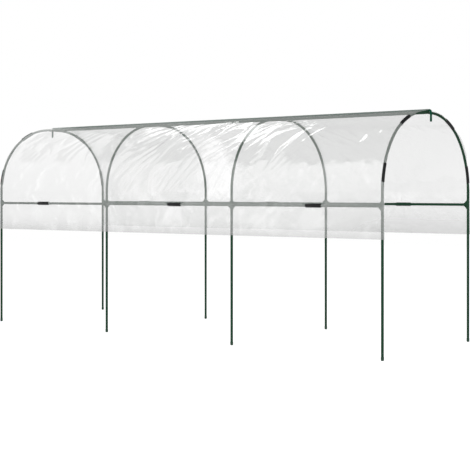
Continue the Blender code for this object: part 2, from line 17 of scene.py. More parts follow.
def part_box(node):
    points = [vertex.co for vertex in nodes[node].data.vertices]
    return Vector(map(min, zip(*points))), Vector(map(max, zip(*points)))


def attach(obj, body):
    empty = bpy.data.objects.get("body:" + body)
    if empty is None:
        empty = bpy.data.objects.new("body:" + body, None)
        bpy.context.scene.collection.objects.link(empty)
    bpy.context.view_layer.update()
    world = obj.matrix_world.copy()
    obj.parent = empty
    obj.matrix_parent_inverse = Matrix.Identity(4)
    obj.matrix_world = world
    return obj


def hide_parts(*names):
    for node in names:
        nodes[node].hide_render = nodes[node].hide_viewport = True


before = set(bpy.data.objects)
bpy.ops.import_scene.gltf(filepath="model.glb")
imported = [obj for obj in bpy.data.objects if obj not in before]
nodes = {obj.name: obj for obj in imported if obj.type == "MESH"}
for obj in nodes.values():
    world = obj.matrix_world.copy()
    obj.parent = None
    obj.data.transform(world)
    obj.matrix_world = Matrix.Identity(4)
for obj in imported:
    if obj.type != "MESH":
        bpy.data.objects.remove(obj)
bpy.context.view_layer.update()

# %% [markdown]
# ## Sizes that come from the frame
# Every new piece has to sit on the tubes, so its sizes are read from the boxes of the CAD nodes and
# not typed in twice. A box can't tell how a tube bends, so the hoop's shape is typed in: the straight
# foot above the rails, the short straight run at the crown, and the angle of the flat top arc. So are
# the outer radii of the tube and of the thinner ridge rod.

# %% Read the tubes' places
def middle(node):
    """The middle of a CAD node's box."""
    low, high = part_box(node)
    return (low + high) / 2


HALF_WIDTH = -middle("rail_front_1").y
RAIL_HEIGHT = middle("rail_front_1").z
CROWN_HEIGHT = middle("ridge_tube_1").z
ROD_HEIGHT = middle("ridge_rod_middle").z
HOOP_X = [middle(f"leg_front_{number}").x for number in (1, 2, 3, 4)]
HALF_LENGTH = HOOP_X[-1]
SKIRT_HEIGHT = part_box("film_cover")[0].z
FILM_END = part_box("film_cover")[1].x
TUBE_RADIUS = 0.0075
ROD_RADIUS = 0.006
HOOP_STRAIGHT = 0.081
CROWN_STRAIGHT = 0.040
TOP_ARC_ANGLE = math.radians(28)
SPRING_HEIGHT = RAIL_HEIGHT + HOOP_STRAIGHT
print("half width", round(HALF_WIDTH, 4), "rail", round(RAIL_HEIGHT, 4), "crown", round(CROWN_HEIGHT, 4))


def named(start):
    """The CAD nodes whose names start like this."""
    return [name for name in nodes if name.startswith(start)]


print("legs", named("leg_"))

# %% Work out the two arcs of a hoop
def arc_radii():
    """Radii of the shoulder bend and the flatter top bend, which meet on a common tangent."""
    s, c = math.sin(TOP_ARC_ANGLE), math.cos(TOP_ARC_ANGLE)
    half, rise = HALF_WIDTH - CROWN_STRAIGHT, CROWN_HEIGHT - SPRING_HEIGHT
    shared = 1 - s - c
    return (half * (1 - c) - rise * s) / shared, ((1 - s) * rise - c * half) / shared


SHOULDER_RADIUS, TOP_RADIUS = arc_radii()
SHOULDER_ANGLE = math.pi / 2 - TOP_ARC_ANGLE
SHOULDER_CENTRE = Vector((0, SHOULDER_RADIUS - HALF_WIDTH, SPRING_HEIGHT))
TOP_CENTRE = Vector((0, -CROWN_STRAIGHT, CROWN_HEIGHT - TOP_RADIUS))
print("shoulder radius", round(SHOULDER_RADIUS, 4), "top radius", round(TOP_RADIUS, 4))

# %% [markdown]
# ## Camera
# A fit of the feet, rails and film edges in the photograph gave a level camera a little below the
# hoops' spring line. The picture is shifted down instead of tilting the camera, so that the legs stay
# upright in the frame.

# %% Place the camera
camera_data = bpy.data.cameras.new("photo_camera")
camera_data.sensor_width = 36
camera_data.lens = 87.86
camera_data.shift_y = -0.090
camera = bpy.data.objects.new("photo_camera", camera_data)
bpy.context.scene.collection.objects.link(camera)
camera.location = (4.582, -5.667, 0.877)
camera.rotation_euler = (math.radians(90), 0, math.radians(38.08))
bpy.context.scene.camera = camera
bpy.context.scene.view_settings.view_transform = "Standard"
print("camera is", round(camera.location.length, 2), "m from the middle of the tunnel's footprint")

# %% [markdown]
# ## Helpers for materials
# Colours are picked as sRGB hex values, the way a paint card gives them, and Blender reckons in linear
# light, so one function turns the first into the second. Another adds a node, fills its sockets and
# links them in a single call, and three more shorten the commonest nodes. That keeps each material
# short enough to read.

# %% Colour and node helpers
def linear(code):
    """An sRGB hex value in linear light. The bare numbers are those of the sRGB standard."""
    values = [int(code[k:k + 2], 16) / 255 for k in (1, 3, 5)]
    return (*(v / 12.92 if v <= 0.04045 else ((v + 0.055) / 1.055) ** 2.4 for v in values), 1.0)


def put(tree, kind, sockets=None, **settings):
    """Adds a node; sockets maps an input to its value, or to the node or output that feeds it."""
    node = tree.nodes.new(kind)
    for name, value in settings.items():
        setattr(node, name, value)
    for key, value in (sockets or {}).items():
        if isinstance(value, bpy.types.Node):
            value = value.outputs[0]
        if isinstance(value, bpy.types.NodeSocket):
            tree.links.new(value, node.inputs[key])
        else:
            node.inputs[key].default_value = value
    return node


def fade(tree, value, start, end, low=0.0, high=1.0, ease="SMOOTHSTEP"):
    """Maps start to end onto low to high, and holds the value beyond them."""
    return put(tree, "ShaderNodeMapRange", {"Value": value, "From Min": start, "From Max": end,
                                            "To Min": low, "To Max": high}, interpolation_type=ease)


def reckon(tree, operation, value, other=0.0, **settings):
    """Adds, multiplies or otherwise combines two numbers."""
    return put(tree, "ShaderNodeMath", {0: value, 1: other}, operation=operation, **settings)


def blend(tree, share, first, second):
    """Mixes two shaders."""
    return put(tree, "ShaderNodeMixShader", {0: share, 1: first, 2: second})


def new_material(name):
    """A material with an empty node tree and its output node."""
    material = bpy.data.materials.new(name)
    material.use_nodes = True
    material.node_tree.nodes.clear()
    return material, material.node_tree, material.node_tree.nodes.new("ShaderNodeOutputMaterial")


print("powder coat green in linear light", [round(v, 3) for v in linear("#20412D")[:3]])

# %% [markdown]
# ## A helper for pieces
# Each new piece gets its mesh from a bmesh, one finish and the frame body that it moves with, and the CAD
# node that it stands for is hidden. Its edges are sharp only where two faces meet at more than 35
# degrees, so that a round tube shades round and a cut end stays crisp.

# %% Piece helper
SHARP_ANGLE = math.radians(35)


def add_piece(name, bm, finish, body="frame", node=None):
    """Makes a piece from its bmesh, gives it its finish and body, and hides the CAD node it stands for."""
    mesh = bpy.data.meshes.new(name)
    bm.to_mesh(mesh)
    bm.free()
    mesh.shade_smooth()
    mesh.set_sharp_from_angle(angle=SHARP_ANGLE)
    mesh.materials.append(finish)
    piece = bpy.data.objects.new(name, mesh)
    bpy.context.scene.collection.objects.link(piece)
    if node:
        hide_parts(node)
    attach(piece, body)
    return piece


# %% [markdown]
# ## Floor, walls of light and lamps
# The object stands on a plain white sweep. The floor shows the camera some light of its own, so that
# it comes out white without more light on the object, and it is still a real surface that takes the
# soft shadows of the legs. What the film mirrors matters most, so mirrored rays see a studio of their
# own: a bright wall in front, with one brighter strip of window and with cloth hung over it, a dark
# ceiling, a dim wall behind and a shaded wall at the far left. The lamps are three soft boxes. Two hang
# overhead and draw the white glints. The big one in front only lights, and is hidden from the mirror.

# %% Floor
FLOOR_HALF = 11
floor_mesh = bpy.data.meshes.new("studio_floor")
bm = bmesh.new()
bmesh.ops.create_grid(bm, x_segments=1, y_segments=1, size=FLOOR_HALF)
bm.to_mesh(floor_mesh)
bm.free()
floor = bpy.data.objects.new("studio_floor", floor_mesh)
bpy.context.scene.collection.objects.link(floor)

floor_paint, tree, output = new_material("white_paper_sweep")
rays = put(tree, "ShaderNodeLightPath")
matt = put(tree, "ShaderNodeBsdfDiffuse", {"Color": linear("#E6E6E6")})
seen_matt = put(tree, "ShaderNodeBsdfDiffuse", {"Color": linear("#A8A8A8")})
seen_glow = put(tree, "ShaderNodeEmission", {"Color": (1, 1, 1, 1), "Strength": 0.90})
mirrored_glow = put(tree, "ShaderNodeEmission", {"Color": (1, 1, 1, 1), "Strength": 1.10})
seen = put(tree, "ShaderNodeAddShader", {0: seen_matt, 1: seen_glow})
unseen = blend(tree, rays.outputs["Is Glossy Ray"], matt, mirrored_glow)
paper = blend(tree, rays.outputs["Is Camera Ray"], unseen, seen)
tree.links.new(paper.outputs[0], output.inputs["Surface"])
floor_mesh.materials.append(floor_paint)
print("floor", tuple(round(v, 1) for v in floor.dimensions))

# %% World
WINDOW_X = -0.635
world = bpy.data.worlds.new("studio")
bpy.context.scene.world = world
world.use_nodes = True
tree = world.node_tree
tree.nodes.clear()
rays = put(tree, "ShaderNodeLightPath")
places = put(tree, "ShaderNodeTexCoord")
toward = put(tree, "ShaderNodeSeparateXYZ", {0: places.outputs["Generated"]})
right, back, up = (toward.outputs[axis] for axis in "XYZ")
# Every limit is a share of the mirrored ray's direction: to the right, to the back or up.
wall = fade(tree, up, -0.060, 0.060, low=0.95, high=1.60)
below_ceiling = fade(tree, up, 0.53, 0.62, low=1.0, high=0.0)
in_front = fade(tree, back, 0.0, 0.25, low=1.0, high=0.0)
behind = fade(tree, back, 0.30, 0.55, low=0.0, high=0.18)
far_left = fade(tree, right, -0.738, -0.706, low=1.0, high=0.0)
in_shade = fade(tree, right, -0.725, -0.690, low=0.68, high=1.0, ease="LINEAR")
beside_window = reckon(tree, "ABSOLUTE", reckon(tree, "SUBTRACT", right, WINDOW_X))
window = fade(tree, beside_window, 0.012, 0.050, low=1.35, high=1.0)
weave = put(tree, "ShaderNodeTexNoise", {"Vector": places.outputs["Generated"], "Scale": 22.0, "Detail": 2.0})
cloth = fade(tree, weave, 0.32, 0.68, low=0.85, high=1.13, ease="LINEAR")
front_wall = reckon(tree, "MULTIPLY", below_ceiling, in_front)
lit = reckon(tree, "MAXIMUM", front_wall, reckon(tree, "MAXIMUM", behind, far_left))
bright = wall
for factor in (window, in_shade, cloth, lit):
    bright = reckon(tree, "MULTIPLY", bright, factor)
mirrored = reckon(tree, "ADD", bright, 0.07)
soft = put(tree, "ShaderNodeBackground", {"Color": (0.42, 0.42, 0.42, 1), "Strength": 1.0})
gloss = put(tree, "ShaderNodeBackground", {"Color": (1, 1, 1, 1), "Strength": mirrored})
white = put(tree, "ShaderNodeBackground", {"Color": (1, 1, 1, 1), "Strength": 1.0})
around = blend(tree, rays.outputs["Is Glossy Ray"], soft, gloss)
straight = reckon(tree, "MAXIMUM", rays.outputs["Is Camera Ray"], rays.outputs["Is Transmission Ray"])
put(tree, "ShaderNodeOutputWorld", {"Surface": blend(tree, straight, around, white)})
print("world has", len(tree.nodes), "nodes")

# %% Lamps
def soft_box(name, place, target, size, power):
    """A rectangular lamp in metres and watts that faces a point."""
    data = bpy.data.lights.new(name, "AREA")
    data.shape = "RECTANGLE"
    data.size, data.size_y = size
    data.energy = power
    lamp = bpy.data.objects.new(name, data)
    bpy.context.scene.collection.objects.link(lamp)
    lamp.location = place
    lamp.rotation_euler = (Vector(target) - Vector(place)).to_track_quat("-Z", "Y").to_euler()
    return lamp


soft_box("glint_box", (-1.05, 0.3, 3.1), (-1.05, 0.3, 0), (0.9, 1.8), 22)
soft_box("side_glint_box", (-1.4, -0.45, 3.1), (-1.4, -0.45, 0), (0.4, 1.5), 3.6)
soft_box("key_box", (3.0, -5.0, 4.5), (0, 0, 0.8), (3.0, 3.0), 190).visible_glossy = False

# %% [markdown]
# ## The film's shape
# The cover is one sheet of clear film, taken to be 0.14 mm thick. It lies on the ridge rod and on the
# hoops, goes straight down past the rails and ends in a free skirt. Its cross-section is easiest to
# give by its turning angle: straight up, round the shoulder, round the top, straight to the rod and
# over it. Adding up small steps along that angle gives the line itself.

# %% Profile of the film from its lower edge to the ridge
FILM_GAP = 0.0006
FILM_RADIUS = TUBE_RADIUS + FILM_GAP
over_rod = ROD_RADIUS + FILM_GAP
to_rod = Vector((0, 0, ROD_HEIGHT)) - TOP_CENTRE
larger_by = TOP_RADIUS + FILM_RADIUS - over_rod
LEAVE_ANGLE = math.pi / 2 - (math.acos(larger_by / to_rod.length) - math.atan2(to_rod.y, to_rod.z))
runs = [
    (SPRING_HEIGHT - SKIRT_HEIGHT, 0.0),
    ((SHOULDER_RADIUS + FILM_RADIUS) * SHOULDER_ANGLE, SHOULDER_ANGLE),
    ((TOP_RADIUS + FILM_RADIUS) * (LEAVE_ANGLE - SHOULDER_ANGLE), LEAVE_ANGLE),
    (math.sqrt(to_rod.length ** 2 - larger_by ** 2), LEAVE_ANGLE),
    (over_rod * (math.pi / 2 - LEAVE_ANGLE), math.pi / 2),
]
knots = np.concatenate([[0.0], np.cumsum([length for length, _ in runs])])
turns = np.array([0.0] + [angle for _, angle in runs])
HALF_PROFILE = float(knots[-1])
RAIL_TRAVEL = RAIL_HEIGHT - SKIRT_HEIGHT
fine_travel = np.linspace(0, HALF_PROFILE, 12001)
fine_turn = np.interp(fine_travel, knots, turns)
small_step = np.diff(fine_travel)
mean_turn = (fine_turn[1:] + fine_turn[:-1]) / 2
fine_y = -HALF_WIDTH - FILM_RADIUS + np.concatenate([[0], np.cumsum(np.sin(mean_turn) * small_step)])
fine_z = SKIRT_HEIGHT + np.concatenate([[0], np.cumsum(np.cos(mean_turn) * small_step)])
print("half profile", round(HALF_PROFILE, 4), "ends at y", round(float(fine_y[-1]), 5),
      "z", round(float(fine_z[-1]), 4))

# %% [markdown]
# ## Where the film is held
# The clips change the film's line. Under a rail clip it is pushed round the outside of the tube, and
# under a hoop clip its end is tucked round the end of the hoop. The places are read from the CAD
# clips, so the folds sit exactly under them.

# %% Places of the clips
def travel_at(point_y, point_z):
    """Distance along the front half of the profile nearest to a point."""
    return float(fine_travel[np.argmin((fine_y - point_y) ** 2 + (fine_z - point_z) ** 2)])


RAIL_CLIPS = {side: [] for side in ("front", "back")}
for side in RAIL_CLIPS:
    for number in (1, 2, 3):
        low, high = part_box(f"rail_clip_{side}_{number}")
        RAIL_CLIPS[side].append((low.x, high.x))
HOOP_CLIPS = []
for height in ("low", "high"):
    low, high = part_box(f"hoop_clip_right_front_{height}")
    start, end = travel_at(low.y, low.z), travel_at(high.y, high.z)
    HOOP_CLIPS.append((start, end))
print("hoop clips along the profile", [(round(a, 3), round(b, 3)) for a, b in HOOP_CLIPS])

# %% Grid lines, closer together where the film turns sharply
def grid_lines(low, high, coarse, places, reach, fine):
    """Evenly spaced lines, with finer ones within reach of each place."""
    lines = list(np.linspace(low, high, int(round((high - low) / coarse)) + 1))
    lines = [value for value in lines if all(abs(value - place) > reach for place in places)]
    for place in places:
        count = int(round(2 * reach / fine)) + 1
        lines += [value for value in np.linspace(place - reach, place + reach, count) if low <= value <= high]
    lines = sorted(lines + [low, high])
    kept = [lines[0]]
    for value in lines[1:]:
        if value - kept[-1] > fine * 0.5:
            kept.append(value)
    kept[-1] = high
    return np.array(kept)


BESIDE_CLIP, FROM_END = 0.014, 0.012
pinch_ends = sorted({round(x, 4) for clips in RAIL_CLIPS.values() for pair in clips
                     for x in (pair[0] - BESIDE_CLIP, pair[1] + BESIDE_CLIP)})
half_lines = grid_lines(0, HALF_PROFILE, coarse=0.0100, places=[RAIL_TRAVEL, HALF_PROFILE],
                        reach=0.022, fine=0.0022)
travel_lines = np.concatenate([half_lines, 2 * HALF_PROFILE - half_lines[-2::-1]])
x_lines = grid_lines(-FILM_END, FILM_END, coarse=0.0098,
                     places=[-FILM_END + FROM_END, FILM_END - FROM_END, *pinch_ends],
                     reach=0.016, fine=0.004)
print("film grid", len(x_lines), "by", len(travel_lines))

# %% [markdown]
# ## Creases
# Film is stiff against stretching and limp against bending, so it folds into long narrow creases that
# run along the pull. Between the middle hoops the pull is slanting, from the rail up to the ridge.
# Soft folds come from smooth noise that is squeezed across the pull and drawn out along it. Others
# have straight flanks, like the facets of crumpled paper, and the glare breaks on them. All of them
# fade out where the film lies on a tube or is drawn tight over the ridge. The skirt has its own waves.

# %% Crease field
def ramp(low, high, values):
    """Smooth step from 0 at low to 1 at high."""
    share = np.clip((values - low) / (high - low), 0, 1)
    return share * share * (3 - 2 * share)


def hump(centre, half_width, values):
    """Smooth hump that is 1 at its centre and 0 outside half_width."""
    return ramp(0, 1, 1 - np.abs(values - centre) / half_width)


def streaks(x, travel, angle, width, length, seed):
    """Perlin noise drawn out along a slanting direction of the sheet."""
    along = (x * math.cos(angle) + travel * math.sin(angle)) / length
    across = (travel * math.cos(angle) - x * math.sin(angle)) / width
    values = [noise.noise(Vector((a, b, seed))) for a, b in zip(across.ravel(), along.ravel())]
    return np.array(values).reshape(x.shape)


def facets(x, travel, angle, width, wander, seed):
    """Folds with straight flanks: a zigzag across the pull, whose lines wander and come and go."""
    across = (travel * math.cos(angle) - x * math.sin(angle)) / width
    drift = wander * streaks(x, travel, angle, width=0.16, length=0.30, seed=seed)
    zigzag = np.abs((across + drift) % 1 - 0.5) * 2
    patches = streaks(x, travel, angle, width=0.11, length=0.20, seed=seed + 5.5)
    strength = np.clip(0.62 + 1.7 * patches, 0, 1)
    return (zigzag - 0.5) * strength


# Each point of the sheet by its place along the tunnel, its distance up the front and over, and its
# distance from the nearer lower edge.
X, TRAVEL = np.meshgrid(x_lines, travel_lines, indexing="ij")
BACK = TRAVEL > HALF_PROFILE
HALF = np.where(BACK, 2 * HALF_PROFILE - TRAVEL, TRAVEL)
hoop_distance = np.min([np.abs(X - x) for x in HOOP_X], axis=0)
off_hoop = ramp(0.010, 0.085, hoop_distance)
off_rail = ramp(0.012, 0.085, np.abs(HALF - RAIL_TRAVEL))
off_ridge = ramp(0.080, 0.30, HALF_PROFILE - HALF)
free = off_hoop * off_rail * off_ridge
print("crease grid", X.shape)

# %% Add up the creases
SLANT = math.radians(44)
SAG = 0.008
SOFT_FOLD, FLAT_FOLD, FINE_FOLD = 0.0050, 0.0140, 0.0040
CRUMPLE, SKIRT_WAVE = 0.0022, 0.0105
middle_bay = ramp(-0.62, -0.36, X) * ramp(0.74, 0.24, X) * hump(0.63, 0.43, HALF)
next_bay = hump(0.74, 0.46, X) * hump(0.60, 0.36, HALF)
first_bay = hump(-0.85, 0.42, X) * hump(0.70, 0.32, HALF)
pulled = np.clip(1.5 * middle_bay + 1.4 * next_bay + 0.12 * first_bay + 0.06, 0, 1.4)
soft_folds = streaks(X, TRAVEL, SLANT, width=0.075, length=0.26, seed=3.7)
flat_folds = facets(X, TRAVEL, SLANT + 0.04, width=0.070, wander=1.2, seed=9.1)
fine_folds = streaks(X, TRAVEL, SLANT - 0.10, width=0.036, length=0.13, seed=15.4)
crumple = streaks(X, TRAVEL, 0.9, width=0.13, length=0.16, seed=21.3)
hanging = streaks(X, TRAVEL * 0.35, 1.45, width=0.10, length=0.30, seed=33.9)
skirt = ramp(0, RAIL_TRAVEL, RAIL_TRAVEL - HALF)
roof_share = np.clip((HALF - RAIL_TRAVEL) / (HALF_PROFILE - RAIL_TRAVEL), 0, 1)
outward = -SAG * np.sin(np.pi * roof_share) * ramp(0, 0.45, hoop_distance)
outward += pulled * (SOFT_FOLD * soft_folds + FLAT_FOLD * flat_folds + FINE_FOLD * fine_folds) * free
outward += CRUMPLE * crumple * free
outward += skirt * (SKIRT_WAVE * hanging * off_hoop)
print("film moves from", round(float(outward.min()) * 1000, 1),
      "to", round(float(outward.max()) * 1000, 1), "mm")

# %% Two dents in the right bay, which catch the two lone glints
DENT_DEPTH, DENT_LENGTH = 0.26, 1.4
for dent_x, dent_travel, reach in ((1.300, 0.570, 0.042), (1.386, 0.612, 0.034)):
    along = (X - dent_x) * math.cos(SLANT) + (TRAVEL - dent_travel) * math.sin(SLANT)
    across = (TRAVEL - dent_travel) * math.cos(SLANT) - (X - dent_x) * math.sin(SLANT)
    outward -= DENT_DEPTH * reach * hump(0, reach, np.hypot(along / DENT_LENGTH, across))
print("with the dents from", round(float(outward.min()) * 1000, 1), "mm")

# %% [markdown]
# ## Laying the sheet on the frame
# Every point starts on the film's line and moves out by the height of its crease. A rail clip then
# pinches the sheet: it goes round the outside of the rail, leaves it at the lip of the clip, and comes
# back to the line above and below. A hoop clip tucks the sheet's end round the end hoop, and between
# the clips the free end droops a little.

# %% Lay the sheet along its line
Y = np.interp(HALF, fine_travel, fine_y)
Z = np.interp(HALF, fine_travel, fine_z)
TURN = np.interp(HALF, fine_travel, fine_turn)
out_y, out_z = -np.cos(TURN), np.sin(TURN)
PX, PY, PZ = X.copy(), Y + out_y * outward, Z + out_z * outward
print("highest point", round(float(PZ.max()), 4))

# %% Pinch it round the rails under the clips
LEAVE_CLIP = math.radians(101)
STRAIGHT_RUN = 0.004
HELD_BESIDE = 0.0015
PINCH_FADE = 0.030
FAN_START, FAN_OUT = 0.02, 1.2
PINCH_DOWN = 0.13
pinch = np.zeros(X.shape)
for side, clips in RAIL_CLIPS.items():
    for low, high in clips:
        beyond = np.maximum(np.maximum(low - X, X - high), 0)
        fade_length = PINCH_FADE + FAN_OUT * np.maximum(np.abs(HALF - RAIL_TRAVEL) - FAN_START, 0)
        held = 1 - ramp(0, 1, (beyond - HELD_BESIDE) / fade_length)
        pinch = np.maximum(pinch, held * (BACK == (side == "back")))
delta = HALF - RAIL_TRAVEL
wrap = FILM_RADIUS * LEAVE_CLIP
low_out, low_up = FILM_RADIUS * math.cos(LEAVE_CLIP), FILM_RADIUS * math.sin(LEAVE_CLIP)
size = np.abs(delta)
far = np.where(delta > 0, HOOP_STRAIGHT, PINCH_DOWN)
rest = np.clip((size - wrap - STRAIGHT_RUN) / (far - wrap - STRAIGHT_RUN), 0, 1)
eased = 0.75 * rest + 0.25 * ramp(0, 1, rest)
held_out = np.where(size < wrap, FILM_RADIUS * np.cos(delta / FILM_RADIUS),
                    np.where(rest <= 0, low_out, low_out + (FILM_RADIUS - low_out) * eased))
held_up = np.where(size < wrap, FILM_RADIUS * np.sin(size / FILM_RADIUS),
                   np.where(rest <= 0, low_up + size - wrap,
                            low_up + STRAIGHT_RUN + (far - low_up - STRAIGHT_RUN) * rest))
held_up = np.where(size > far, size, held_up) * np.sign(delta)
held_out = np.where(size > far, FILM_RADIUS, held_out)
near_rail = pinch * (HALF < RAIL_TRAVEL + HOOP_STRAIGHT + 0.001)
PY = PY * (1 - near_rail) + (-HALF_WIDTH - held_out + np.where(size > far, PY - Y, 0)) * near_rail
PZ = PZ * (1 - near_rail) + (RAIL_HEIGHT + held_up) * near_rail
print("pinched points", int((near_rail > 0.5).sum()))

# %% Tuck its ends round the end hoops
TUCK_FADE = 0.075
TUCK_ANGLE = math.radians(115)
END_DROOP = 0.0035
tuck = np.zeros(X.shape)
for low, high in HOOP_CLIPS:
    beyond = np.maximum(np.maximum(low - HALF, HALF - high), 0)
    tuck = np.maximum(tuck, 1 - ramp(0.001, TUCK_FADE, beyond))
over = np.maximum(np.abs(X) - HALF_LENGTH, 0)
sweep = np.minimum(over / FILM_RADIUS, TUCK_ANGLE)
tuck_x = np.sign(X) * (HALF_LENGTH + FILM_RADIUS * np.sin(sweep))
drop = FILM_RADIUS * (np.cos(sweep) - 1)
droop = -END_DROOP * (over / (FILM_END - HALF_LENGTH)) ** 2
tucked = np.where(over > 0, tuck, 0)
PX = PX * (1 - tucked) + tuck_x * tucked
move = drop * tucked + droop * (1 - tucked) * (over > 0)
PY += out_y * move
PZ += out_z * move
PY = np.where(BACK, -PY, PY)
print("film box", *([round(float(v), 4) for v in (values.min(), values.max())] for values in (PX, PY, PZ)))

# %% [markdown]
# ## Where the film is clearer
# Blown film isn't equally milky all over. Where it is drawn tight over the ridge it is thinner, so the
# ridge tube shows through it. One bright upright strip between the middle hoops is a painted highlight:
# a pane of less milky film at the front and one at the back lie on the same line of sight there and let
# more white through. These limits are smooth on purpose, as an edge in the milk would read as a line on the
# film.

# %% Share of milk for each point
stretched = 0.7 * hump(HALF_PROFILE, 0.18, HALF)
# Painted highlight: a front pane and a back pane with less milk make one bright upright strip between the
# middle hoops.
front_pane = ramp(0.20, 0.28, X) * ramp(0.53, 0.49, X) * (1 - BACK)
back_pane = ramp(-0.54, -0.48, X) * ramp(-0.24, -0.30, X) * BACK
painted_highlight_strip = 0.70 * (front_pane + back_pane) * ramp(0.16, 0.26, HALF) * ramp(0.92, 0.66, HALF)
hazy = 1 - np.maximum(stretched, painted_highlight_strip)
print("haze from", round(float(hazy.min()), 2), "to", round(float(hazy.max()), 2))

# %% Make the film from a grid
bm = bmesh.new()
count_x, count_y = X.shape
bmesh.ops.create_grid(bm, x_segments=count_x - 1, y_segments=count_y - 1, size=1)
metres = bm.loops.layers.uv.new("sheet_metres")
pull = bm.verts.layers.float.new("pull")
haze = bm.verts.layers.float.new("haze")
order = sorted(bm.verts, key=lambda v: (round(v.co.x, 6), round(v.co.y, 6)))
flat_place = {}
for index, vertex in enumerate(order):
    i, j = divmod(index, count_y)
    vertex.co = PX[i, j], PY[i, j], PZ[i, j]
    vertex[pull] = pulled[i, j] * free[i, j]
    vertex[haze] = hazy[i, j]
    flat_place[vertex] = (X[i, j], TRAVEL[i, j])
for face in bm.faces:
    face.smooth = True
    for loop in face.loops:
        loop[metres].uv = flat_place[loop.vert]
highest = max(bm.faces, key=lambda face: face.calc_center_median().z)
highest.normal_update()
if highest.normal.z < 0:
    bmesh.ops.reverse_faces(bm, faces=bm.faces)
film_mesh = bpy.data.meshes.new("clear_film_cover")
bm.to_mesh(film_mesh)
bm.free()
film = bpy.data.objects.new("clear_film_cover", film_mesh)
bpy.context.scene.collection.objects.link(film)
print("film faces", len(film_mesh.polygons))

# %% [markdown]
# ## The film's finish
# Clear polythene film is blown, so it is glossy on both sides and slightly milky, and handling leaves
# fine creases in it. Seen against white it only greys the light a little, and seen over a dark tube
# its milkiness shows. A thin sheet has no body to bend the light, so the clear part is a Transparent
# shader, the milk is a diffuse one with a little translucent in it, and a mirror is laid over both
# that grows stronger at a grazing angle. The lower edge of the front half and the lower right corner
# of the back half have painted shade: their clear part is tinted a little darker. The creases follow the
# sheet's own map, in metres.

# %% Bumps of the film
film_finish, tree, output = new_material("blown_polythene_film")
sheet = put(tree, "ShaderNodeUVMap", uv_map="sheet_metres")
turned = put(tree, "ShaderNodeMapping", {"Vector": sheet, "Rotation": (0, 0, -SLANT)})
drawn_out = put(tree, "ShaderNodeMapping", {"Vector": turned, "Scale": (6, 26, 1)})
creases = put(tree, "ShaderNodeTexNoise", {"Vector": drawn_out, "Scale": 1.0, "Detail": 1.0,
                                           "Roughness": 0.45, "Distortion": 0.2})
narrow = put(tree, "ShaderNodeMapping", {"Vector": turned, "Scale": (12, 46, 1)})
wrinkles = put(tree, "ShaderNodeTexNoise", {"Vector": narrow, "Scale": 1.0, "Detail": 1.0, "Distortion": 0.3})
clouds = put(tree, "ShaderNodeTexNoise", {"Vector": sheet, "Scale": 11.0, "Detail": 1.5, "Roughness": 0.5})
few_dents = fade(tree, clouds, 0.50, 0.80)
pulled_here = put(tree, "ShaderNodeAttribute", attribute_name="pull").outputs["Fac"]
bumps = put(tree, "ShaderNodeBump", {"Strength": 0.28, "Distance": 0.002, "Height": creases})
for height, strength, depth in ((wrinkles, pulled_here, 0.0009), (clouds, 0.5, 0.002),
                                (few_dents, 0.5, 0.003)):
    bumps = put(tree, "ShaderNodeBump", {"Strength": strength, "Distance": depth, "Height": height,
                                         "Normal": bumps})
print("bumps of the film", sum(node.type == "BUMP" for node in tree.nodes))

# %% Colour, milk and mirror of the film
MILK_SHARE = 0.255
GLOW_SHARE = 0.1
on_sheet = put(tree, "ShaderNodeSeparateXYZ", {0: sheet})
from_middle = reckon(tree, "SUBTRACT", on_sheet.outputs["Y"], HALF_PROFILE)
from_ridge = reckon(tree, "ABSOLUTE", from_middle)
down_skirt = fade(tree, from_ridge, HALF_PROFILE - RAIL_TRAVEL, HALF_PROFILE, ease="LINEAR")
on_back = reckon(tree, "GREATER_THAN", from_middle, 0.0)
front_edge = reckon(tree, "SUBTRACT", reckon(tree, "POWER", down_skirt, 3.0), on_back, use_clamp=True)
right_end = fade(tree, on_sheet.outputs["X"], 0.45, 0.90, high=on_back, ease="LINEAR")
# Painted shade: the clear part is tinted darker towards the lower edge of the front half and in the lower
# right corner of the back half.
painted_shade_low = reckon(tree, "ADD", front_edge, reckon(tree, "MULTIPLY", right_end, down_skirt))
haze_here = put(tree, "ShaderNodeAttribute", attribute_name="haze").outputs["Fac"]
clean = put(tree, "ShaderNodeMix", {0: haze_here, 6: (1, 1, 1, 1), 7: linear("#F9F9F9")}, data_type="RGBA")
tint = put(tree, "ShaderNodeMix", {0: painted_shade_low, 6: clean.outputs[2], 7: linear("#D4D4D4")}, data_type="RGBA")
milk = reckon(tree, "MULTIPLY", haze_here, MILK_SHARE)
diffuse = put(tree, "ShaderNodeBsdfDiffuse", {"Color": linear("#F2F3F2"), "Normal": bumps})
glow = put(tree, "ShaderNodeBsdfTranslucent", {"Color": linear("#F2F3F2"), "Normal": bumps})
clear = put(tree, "ShaderNodeBsdfTransparent", {"Color": tint.outputs[2]})
body = blend(tree, milk, clear, blend(tree, GLOW_SHARE, diffuse, glow))
facing = put(tree, "ShaderNodeLayerWeight", {"Blend": 0.5, "Normal": bumps})
grazing = reckon(tree, "POWER", facing.outputs["Facing"], 4.0)
mirror_share = fade(tree, grazing, 0.0, 1.0, low=0.08, high=0.34, ease="LINEAR")
mirror = put(tree, "ShaderNodeBsdfGlossy", {"Color": (1, 1, 1, 1), "Roughness": 0.08, "Normal": bumps})
tree.links.new(blend(tree, mirror_share, body, mirror).outputs[0], output.inputs["Surface"])
print("film finish has", len(tree.nodes), "nodes")

# %% Dress the film
film_mesh.materials.append(film_finish)
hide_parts("film_cover")
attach(film, "frame")
print("film is cut", round(2 * HALF_PROFILE, 3), "by", round(2 * FILM_END, 3), "m")

# %% [markdown]
# ## Finishes of the frame
# The tubes are steel with a baked green powder coat: satin, with a very fine orange-peel grain. The
# ridge rod has a deeper green sleeve. Connectors and clips are moulded plastic, and the foot caps are
# dipped vinyl. Each has its own grain size and sheen, so that they part from each other even in the
# same green.

